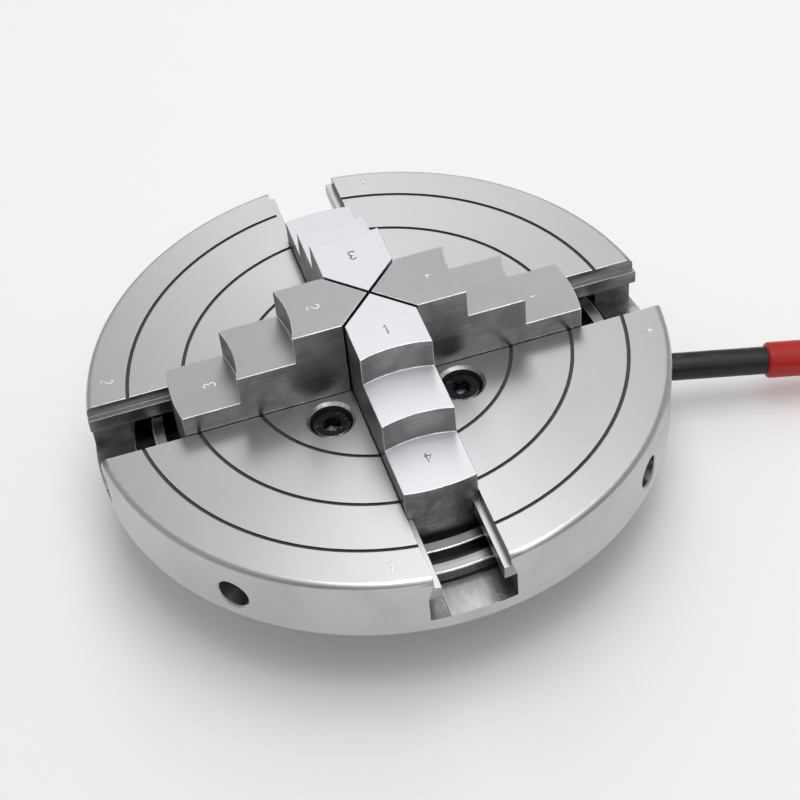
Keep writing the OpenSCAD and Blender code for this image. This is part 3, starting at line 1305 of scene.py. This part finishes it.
def lever_line():
    """A point on the bar's axis and the unit vector outwards along it."""
    lean, droop = math.radians(LEVER_LEAN), math.radians(LEVER_DROOP)
    level = math.cos(droop)
    along = Vector((math.cos(lean) * level, math.sin(lean) * level, math.sin(droop)))
    return polar(LEVER_RADIUS, LEVER_AZIMUTH, LEVER_Z), along


def rod(name, span, radius):
    """A plain round rod between two distances along the lever's axis."""
    pivot, along = lever_line()
    start, end = span
    middle = pivot + along * (start + end) / 2
    turn = Vector((0, 0, 1)).rotation_difference(along).to_euler()
    return add_cylinder(name, LEVER_SIDES, radius, end - start, middle, turn)


def along_lever(point):
    """Distance along the lever's axis and away from it."""
    pivot, along = lever_line()
    offset = point - pivot
    reach = offset.dot(along)
    return reach, (offset - along * reach).length


class CHUCK_OT_lever(bpy.types.Operator):
    """Makes the black lever bar and its dipped grip"""

    bl_idname = "chuck.lever"
    bl_label = "Lever"

    def execute(self, context):
        bar = rod("lever_bar_finished", BAR_SPAN, BAR_RADIUS)

        def around_end(a, b):
            return abs(along_lever(a)[0] - along_lever(b)[0]) < 0.01

        round_edges(bar, 0.9, 2, around_end)
        give(bar, "bar")
        shade(bar, 50)
        stand_for(bar, ["lever_bar"], "lever")

        grip = rod("lever_grip_finished", GRIP_SPAN, GRIP_RADIUS)
        mouth, tip = GRIP_SPAN
        # the bore for the bar is pushed in from the open end
        edit_faces(grip, lambda c, n: abs(along_lever(c)[0] - mouth) < 0.01)
        bpy.ops.mesh.inset(thickness=GRIP_WALL * MM)
        push_out(lever_line()[1] * (GRIP_BORE_END - mouth))
        bpy.ops.object.mode_set(mode="OBJECT")
        for end, rounding in ((tip, 2.4), (mouth, 1.4)):

            def outer_rim(a, b, end=end):
                away = along_lever((a + b) / 2)[1]
                close = abs(along_lever(a)[0] - end) < 1.0
                return close and around_end(a, b) and away > GRIP_RADIUS - 0.3

            round_edges(grip, rounding, 6, outer_rim)
        give(grip, "grip")
        shade(grip, 60)
        stand_for(grip, ["lever_grip"], "lever")
        return {"FINISHED"}


def build_floor_paint(stage):
    """Pale matt paint with a faint mottle, and the glow of a lit table."""
    material, tree, shader = start_material("pale_floor_paint")
    mottle = noise_node(tree, object_place(tree), 6.0)
    pale = tuple(stage.floor)
    set_up(
        tree,
        shader,
        Base_Color=mix_colours(tree, mottle, pale, tinted(pale, 0.99)),
        Roughness=0.7,
        Specular_IOR_Level=0.2,
        Emission_Color=(1.0, 1.0, 1.0),
        Emission_Strength=stage.floor_glow,
    )
    return material


def build_room(strength):
    """Even light from all around, darker low down on the near side."""
    world = bpy.data.worlds.new("soft_room")
    world.use_nodes = True
    tree = world.node_tree
    around = tree.nodes.new("ShaderNodeTexCoord").outputs["Generated"]
    split = tree.nodes.new("ShaderNodeSeparateXYZ")
    tree.links.new(around, split.inputs[0])
    near = fade_node(tree, split.outputs["Y"], -0.1, -0.7, "SMOOTHSTEP")
    low = fade_node(tree, split.outputs["Z"], 0.75, 0.3, "SMOOTHSTEP")
    shade_side = math_node(tree, "MULTIPLY", near, low)
    walls = mix_colours(tree, shade_side, (1.0, 0.99, 0.96), (0.25, 0.25, 0.29))
    # a window behind the viewer, which the chamfers and softened edges catch
    window = tree.nodes.new("ShaderNodeVectorMath")
    window.operation = "DOT_PRODUCT"
    window.inputs[1].default_value = (0.16, -0.72, 0.675)
    tree.links.new(around, window.inputs[0])
    pane = fade_node(tree, window.outputs["Value"], 0.87, 0.96, "SMOOTHSTEP")
    glossy = tree.nodes.new("ShaderNodeLightPath").outputs["Is Glossy Ray"]
    mirrored = math_node(tree, "MULTIPLY", pane, glossy)
    walls = mix_colours(tree, mirrored, walls, (2.6, 2.6, 2.65))
    set_up(tree, tree.nodes["Background"], Color=walls, Strength=strength)
    return world


def build_camera():
    """The bench camera, rolled a little about its line of sight."""
    forward = Vector(CAMERA_FORWARD).normalized()
    level_right = forward.cross(Vector((0, 0, 1))).normalized()
    level_up = level_right.cross(forward).normalized()
    roll = math.radians(CAMERA_ROLL)
    right = level_right * math.cos(roll) + level_up * math.sin(roll)
    up = level_up * math.cos(roll) - level_right * math.sin(roll)
    turn = Matrix((right, up, -forward)).transposed().to_4x4()
    lens = bpy.data.cameras.new("bench_camera")
    lens.lens = CAMERA_LENS
    lens.sensor_width = CAMERA_SENSOR
    lens.clip_start = 0.01
    lens.dof.use_dof = False
    camera = bpy.data.objects.new("bench_camera", lens)
    camera.matrix_world = Matrix.Translation(CAMERA_PLACE) @ turn
    return camera


class CHUCK_OT_stage(bpy.types.Operator):
    """Sets up the plain floor, the soft light and the camera"""

    bl_idname = "chuck.stage"
    bl_label = "Stage"

    def execute(self, context):
        scene = context.scene
        stage = scene.chuck_stage
        leave_edit_mode()
        bpy.ops.object.select_all(action="DESELECT")
        bpy.ops.mesh.primitive_plane_add(size=24.0, location=(0, 0, -0.0002))
        floor = context.view_layer.objects.active
        floor.name = "pale_floor"
        floor.data.materials.append(build_floor_paint(stage))

        # sizes and places of the light panels are in metres
        for name, width, length, power, place, turn in (
            ("long_panel", 0.85, 3.4, stage.long_panel, (0.33, 0.85, 1.5), -8.0),
            ("top_panel", 0.8, 1.0, stage.top_panel, (0.14, 0.0, 1.46), 0.0),
        ):
            panel = bpy.data.lights.new(name, "AREA")
            panel.shape = "RECTANGLE"
            panel.size, panel.size_y = width, length
            panel.energy = power
            panel.color = (0.975, 0.98, 1.0)
            holder = bpy.data.objects.new(name, panel)
            holder.location = place
            holder.rotation_euler = (0.0, 0.0, math.radians(turn))
            scene.collection.objects.link(holder)

        scene.world = build_room(stage.room)
        scene.view_settings.view_transform = "Standard"
        scene.camera = build_camera()
        scene.collection.objects.link(scene.camera)
        return {"FINISHED"}


class CHUCK_PT_panel(bpy.types.Panel):
    """Lists the steps that finish the chuck"""

    bl_label = "Lathe Chuck"
    bl_space_type = "VIEW_3D"
    bl_region_type = "UI"
    bl_category = "Chuck"

    def draw(self, context):
        layout = self.layout
        for title, settings in (
            ("Sizes", context.scene.chuck_sizes),
            ("Finishes", context.scene.chuck_finishes),
            ("Stage", context.scene.chuck_stage),
        ):
            box = layout.box()
            box.label(text=title)
            for key in settings.__annotations__:
                box.prop(settings, key)
        for step in STEPS:
            layout.operator(step.bl_idname)


STEPS = (
    CHUCK_OT_stage,
    CHUCK_OT_body,
    CHUCK_OT_jaws,
    CHUCK_OT_scroll,
    CHUCK_OT_back_plate,
    CHUCK_OT_screws,
    CHUCK_OT_dowels,
    CHUCK_OT_lever,
)
SETTINGS = (
    ("chuck_sizes", ChuckSizes),
    ("chuck_finishes", ChuckFinishes),
    ("chuck_stage", ChuckStage),
)


def register():
    for name, group in SETTINGS:
        bpy.utils.register_class(group)
        setattr(bpy.types.Scene, name, bpy.props.PointerProperty(type=group))
    for step in STEPS:
        bpy.utils.register_class(step)
    bpy.utils.register_class(CHUCK_PT_panel)


def unregister():
    bpy.utils.unregister_class(CHUCK_PT_panel)
    for step in reversed(STEPS):
        bpy.utils.unregister_class(step)
    for name, group in reversed(SETTINGS):
        delattr(bpy.types.Scene, name)
        bpy.utils.unregister_class(group)


def main():
    register()
    for step in STEPS:
        area, name = step.bl_idname.split(".")
        getattr(getattr(bpy.ops, area), name)()


if __name__ == "__main__":
    main()
